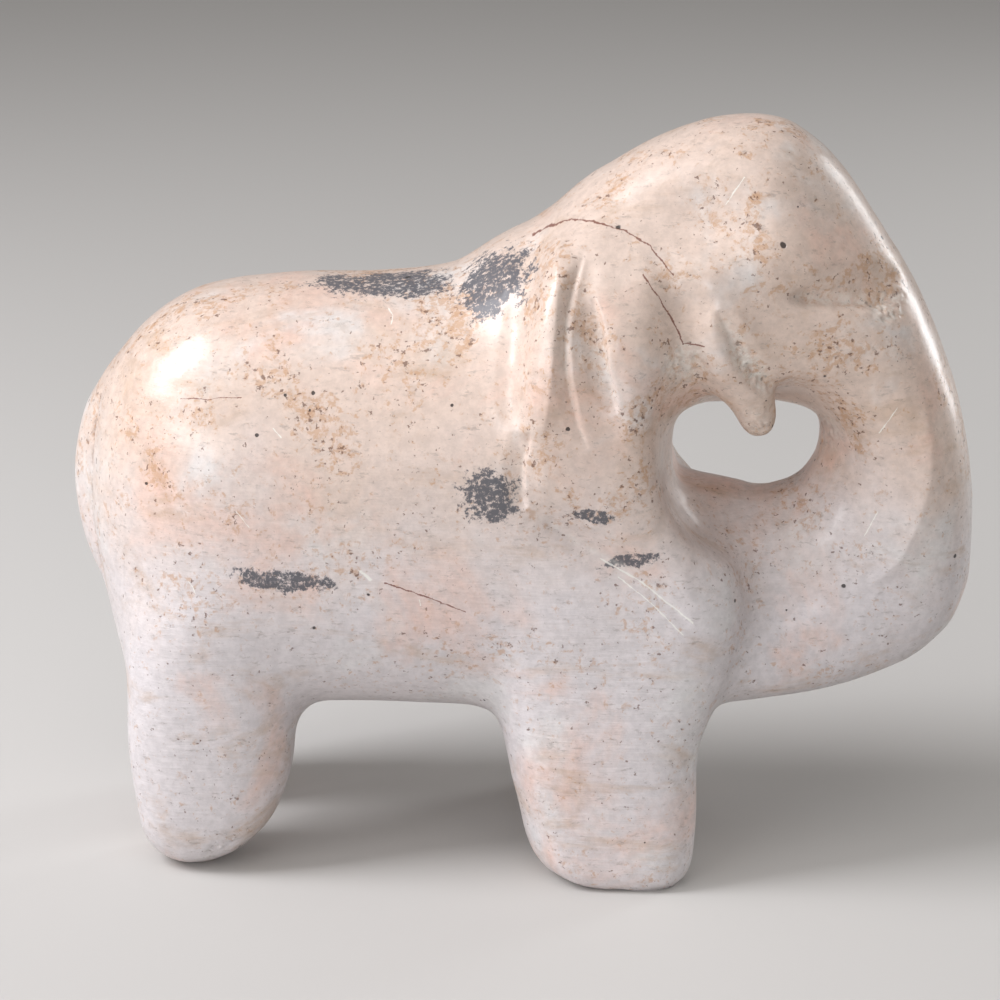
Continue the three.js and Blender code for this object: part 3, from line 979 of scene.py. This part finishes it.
    @staticmethod
    def veins(bench: NodeBench, veins: Sequence[Vein], stray: float) -> bpy.types.NodeSocket:
        """Draw hairlines by their distance from straight pieces, with the line straying a little.

        Args:
            bench: The material's nodes.
            veins: The lines.
            stray: How far a line strays, in millimetres.

        Returns:
            Where the lines are.
        """
        drift = bench.noise(size=1.3, detail=4, rough=0.7, want="Color")
        jitter = bench.vector("SCALE", bench.vector("SUBTRACT", drift, (0.5,) * 3))
        jitter.node.inputs["Scale"].default_value = stray * MM
        place = bench.vector("MULTIPLY", bench.vector("ADD", bench.place, jitter), (1, 0, 1))
        breadth = bench.spread(bench.noise(size=0.9, detail=3, rough=0.6), low=0.3, high=0.7, start=0.3, end=1.4)
        sides = {side: bench.sum("LESS_THAN", bench.sum("MULTIPLY", bench.axis("Y"), -side.value), 0)
                 for side in {vein.side for vein in veins}}
        drawn = []
        for vein in veins:
            pieces = []
            for (x0, z0), (x1, z1) in zip(vein.path, vein.path[1:]):
                start, step = Vector((x0, 0, z0)) * MM, Vector((x1 - x0, 0, z1 - z0)) * MM
                offset = bench.vector("SUBTRACT", place, tuple(start))
                along = bench.vector("DOT_PRODUCT", offset, tuple(step / step.length_squared), want="Value")
                held = bench.add("ShaderNodeClamp")
                bench.link(along, held.inputs["Value"])
                back = bench.vector("SCALE", tuple(step))
                bench.link(held.outputs[0], back.node.inputs["Scale"])
                pieces.append(bench.vector("LENGTH", bench.vector("SUBTRACT", offset, back), want="Value"))
            distance = bench.sum("DIVIDE", bench.gather("MINIMUM", pieces), vein.width * MM)
            line = bench.spread(bench.sum("SUBTRACT", distance, breadth), low=-0.4, high=0.4, start=1, end=0)
            drawn.append(bench.sum("MULTIPLY", line, sides[vein.side]))
        return bench.gather("MAXIMUM", drawn)

    @staticmethod
    def chalky(bench: NodeBench) -> bpy.types.NodeSocket:
        """Find where pale stone dust sits on broken stone and in fresh cuts.

        Args:
            bench: The material's nodes.

        Returns:
            Its amount.
        """
        broken = bench.spread(bench.noise(size=0.8, detail=4, rough=0.7, swirl=0.3), low=0.38, high=0.62)
        return bench.sum("MULTIPLY", bench.film("dust"), broken)

    @staticmethod
    def dirty(bench: NodeBench) -> bpy.types.NodeSocket:
        """Find where brown dirt sits in the grooves.

        Args:
            bench: The material's nodes.

        Returns:
            Its amount.
        """
        broken = bench.spread(bench.noise(size=1.1, detail=4, rough=0.7, swirl=0.3), low=0.4, high=0.6)
        return bench.sum("MULTIPLY", bench.film("dirt"), broken)

    def gloss(self, bench: NodeBench, grey: object, chalky: object) -> bpy.types.NodeSocket:
        """Vary the polish: duller low down, on grey grains and on broken stone.

        Args:
            bench: The material's nodes.
            grey: Where the grey grains are.
            chalky: Where the stone dust is.

        Returns:
            The roughness.
        """
        worn = bench.noise(size=11, detail=3, rough=0.6, swirl=0.3)
        handled = bench.spread(worn, low=0.3, high=0.7, start=-0.05, end=0.08)
        lower = bench.spread(bench.axis("Z"), low=14 * MM, high=34 * MM, start=0.12, end=0)
        grain = bench.spread(bench.noise(size=0.5, detail=3, rough=0.7), low=0.3, high=0.7, start=-0.03, end=0.05)
        dull = bench.sum("MULTIPLY", bench.sum("MAXIMUM", grey, chalky), 0.22)
        return bench.sum("ADD", bench.gather("ADD", [handled, lower, grain, dull]), self.roughness)

    @staticmethod
    def relief(bench: NodeBench, pits: object) -> bpy.types.NodeSocket:
        """Bump the surface: sanding lines, fine grain and pits.

        Args:
            bench: The material's nodes.
            pits: Where the pits are.

        Returns:
            The bent normal.
        """
        strokes = bench.mapped("POINT", scale=(0.22, 0.8, 2.4), turn=(0, 0.18, 0))
        sanding = bench.noise(size=1.0, detail=4, rough=0.65, swirl=0.2, where=strokes)
        sanded = bench.spread(bench.axis("Z"), low=22 * MM, high=42 * MM, start=1, end=0.35)
        normal = bench.bump(bench.sum("MULTIPLY", sanding, sanded), depth=0.06)
        normal = bench.bump(bench.noise(size=0.45, detail=4, rough=0.7), depth=0.018, under=normal)
        return bench.bump(bench.sum("SUBTRACT", 1, pits), depth=0.08, under=normal)


@dataclass(frozen=True)
class Lamp:
    """One soft light that faces the stone.

    Args:
        name: What it is.
        azimuth: Its direction from the front, to the right, in degrees.
        elevation: Its height in degrees.
        reach: Its distance in millimetres.
        size: Its width and height in millimetres.
        power: Its power in watts.
        tint: Its colour.
    """

    name: str
    azimuth: float
    elevation: float
    reach: float
    size: Point
    power: float
    tint: Place


LAMPS = (
    Lamp("window", -76, 42, 520, (200, 300), 2.6, (0.94, 0.95, 1.0)),
    Lamp("window_low", -40, 15, 520, (340, 70), 0.8, (0.95, 0.96, 1.0)),
    Lamp("ceiling", -15, 62, 560, (520, 400), 0.75, (1.0, 0.98, 0.97)),
    Lamp("front_fill", 5, 11, 600, (120, 80), 0.35, (0.82, 0.9, 1.0)),
    Lamp("rim", 128, 12, 520, (120, 300), 0.9, (0.96, 0.98, 1.0)),
)


@dataclass
class Studio:
    """A pale floor under soft lights, and the camera.

    Args:
        target: What the camera looks at, in millimetres.
        distance: The camera's distance from it, in millimetres.
        elevation: The camera's height in degrees.
        azimuth: The camera's direction from the front, to the right, in degrees.
        lens: Its focal length in millimetres.
        sensor: Its sensor's width in millimetres.
        lit_height: The height that the lights face, in millimetres.
        paper: The floor's colour.
        paper_roughness: The floor's roughness.
        room: The colour of the light all round.
        room_strength: The strength of the light all round.
    """

    target: Place = (-1.843, 0.0, 31.58)
    distance: float = 260.0
    elevation: float = 17.0
    azimuth: float = 3.0
    lens: float = 104.6
    sensor: float = 36.0
    lit_height: float = 30.0
    paper: Tint = linear(196, 193, 189)
    paper_roughness: float = 0.8
    room: Tint = linear(208, 206, 205)
    room_strength: float = 0.47

    @staticmethod
    def direction(azimuth: float, elevation: float) -> Vector:
        """Return the unit vector towards an azimuth (from the front, to the right) and elevation in degrees."""
        side, lift = math.radians(azimuth), math.radians(elevation)
        return Vector((math.sin(side) * math.cos(lift), -math.cos(side) * math.cos(lift), math.sin(lift)))

    def camera(self) -> None:
        """Set the camera up."""
        data = bpy.data.cameras.new("camera")
        data.lens = self.lens
        data.sensor_width = self.sensor
        data.clip_start = 10 * MM
        camera = bpy.data.objects.new("camera", data)
        back = self.direction(self.azimuth, self.elevation)
        camera.location = (Vector(self.target) + back * self.distance) * MM
        camera.rotation_euler = (-back).to_track_quat("-Z", "Y").to_euler()
        bpy.context.scene.collection.objects.link(camera)
        bpy.context.scene.camera = camera

    def hang(self, lamp: Lamp) -> None:
        """Hang one light.

        Args:
            lamp: The light.
        """
        data = bpy.data.lights.new(lamp.name, "AREA")
        data.shape = "RECTANGLE"
        data.size, data.size_y = lamp.size[0] * MM, lamp.size[1] * MM
        data.energy = lamp.power
        data.color = lamp.tint
        light = bpy.data.objects.new(lamp.name, data)
        back = self.direction(lamp.azimuth, lamp.elevation)
        light.location = (Vector((0, 0, self.lit_height)) + back * lamp.reach) * MM
        light.rotation_euler = (-back).to_track_quat("-Z", "Y").to_euler()
        bpy.context.scene.collection.objects.link(light)

    def build(self) -> None:
        """Make the floor, the lights and the surrounding tone."""
        table = bmesh.new()
        bmesh.ops.create_grid(table, x_segments=1, y_segments=1, size=3.0)
        mesh = bpy.data.meshes.new("floor")
        table.to_mesh(mesh)
        table.free()
        floor = bpy.data.objects.new("floor", mesh)
        bpy.context.scene.collection.objects.link(floor)
        paper = bpy.data.materials.new("floor_paper")
        paper.use_nodes = True
        matt = paper.node_tree.nodes["Principled BSDF"]
        matt.inputs["Base Color"].default_value = self.paper
        matt.inputs["Roughness"].default_value = self.paper_roughness
        mesh.materials.append(paper)
        floor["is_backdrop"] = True
        for lamp in LAMPS:
            self.hang(lamp)
        world = bpy.data.worlds.new("room")
        world.use_nodes = True
        glow = world.node_tree.nodes["Background"]
        glow.inputs["Color"].default_value = self.room
        glow.inputs["Strength"].default_value = self.room_strength
        bpy.context.scene.world = world
        bpy.context.scene.view_settings.view_transform = "Standard"


KNIFE_CUTS = (
    Cut("ear's back ridge",
        ((3.9, 58.2), (3.7, 56.4), (3.6, 54.5), (3.5, 51.5), (3.3, 48.4), (3.0, 45.0), (2.5, 41.8)),
        -0.35, 1.5, Section.VEE, taper=0.2),
    Cut("ear's back hollow", ((1.9, 57.2), (0.9, 54.6), (0.4, 50.5), (0.0, 46.0), (0.0, 42.0)),
        0.45, 1.9, Section.ROUND, taper=0.2),
    Cut("first ear cut",
        ((5.8, 56.6), (5.0, 54.1), (4.5, 51.9), (4.4, 49.5), (4.5, 47.1), (5.4, 42.9), (6.4, 40.6)),
        0.4, 1.3, Section.STEP, taper=0.3, dust=0.3),
    Cut("second ear cut", ((6.5, 53.2), (7.0, 51.0), (7.4, 49.0), (7.6, 47.4), (8.1, 45.7), (8.7, 43.6)),
        0.6, 1.7, Section.STEP, taper=0.3, dust=0.3),
    Cut("ear's lower step", ((1.4, 42.2), (0.7, 39.6), (0.6, 36.8), (1.1, 35.2)),
        0.5, 1.6, Section.STEP, taper=0.2, dust=0.2),
    Cut("cut under the ear", ((1.2, 35.0), (5.7, 31.8), (8.2, 30.5), (10.8, 28.8), (13.5, 26.6), (15.3, 24.6)),
        0.22, 0.8, Section.VEE, taper=0.2, dust=0.3),
    Cut("eye", ((22.8, 52.8), (26.4, 52.5), (29.8, 52.2), (32.4, 51.8)),
        0.8, 1.1, Section.VEE, taper=0.2, dust=0.6),
    Cut("rim of the trunk's dish",
        ((34.4, 44.0), (35.4, 39.9), (35.5, 36.4), (34.8, 32.7), (33.3, 29.0), (30.4, 26.2)),
        -0.3, 1.5, Section.VEE, taper=0.3),
    Cut("notch beside the tusk", ((16.9, 52.0), (18.4, 49.4), (19.6, 47.2), (21.0, 45.6), (22.4, 44.9)),
        0.75, 1.5, Section.VEE, taper=0.3, dust=0.55),
    Cut("tail groove", ((3.7, 42.6), (4.3, 38), (4.45, 33), (4.3, 28), (3.9, 23.6)), 0.3, 0.55, Section.VEE,
        sheet=Sheet.RUMP, taper=0.3, reaches=(-60, -33), dirt=0.8),
)

BROKEN_PLACES = (
    Break("eye's front corner", (31.4, 51.4), (1.9, 1.5), -10, 0.4, 0.8, dust=0.8),
    Break("beside the tusk", (19.9, 46.9), (3.6, 1.3), -55, 0.5, 0.9, dust=0.8),
    Break("above the loop", (14.2, 47.4), (2.2, 2.3), 20, 0.35, 0.9, dust=0.6),
    Break("tusk's tip", (21.0, 42.0), (2.2, 2.0), -60, 0.3, 0.8, dust=0.25),
    Break("front of the loop", (26.6, 39.3), (1.7, 2.6), 0, 0.35, 0.8, dust=0.3),
    Break("rear foot", (-25.8, 2.9), (2.4, 0.9), 35, 0.4, 0.8, dust=0.1),
    Break("far side above the loop", (15.5, 46.5), (2.6, 2.2), 10, 0.4, 0.9, Side.FAR, 0.5),
    Break("far eye's corner", (31.0, 52.4), (1.3, 1.2), 0, 0.3, 0.8, Side.FAR, 0.6),
)


def main(cad_box: tuple[Vector, Vector]) -> None:
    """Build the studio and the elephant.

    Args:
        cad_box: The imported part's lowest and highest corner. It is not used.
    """
    studio = Studio()
    studio.camera()
    studio.build()
    stone = CarvedStone(KNIFE_CUTS, BROKEN_PLACES).build()
    stone.data.materials.append(SoapstoneFinish().material())
    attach(stone, "root")
    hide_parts("elephant")


if __name__ == "__main__":
    logging.basicConfig(level=logging.INFO, format="%(name)s: %(message)s")
    main(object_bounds())
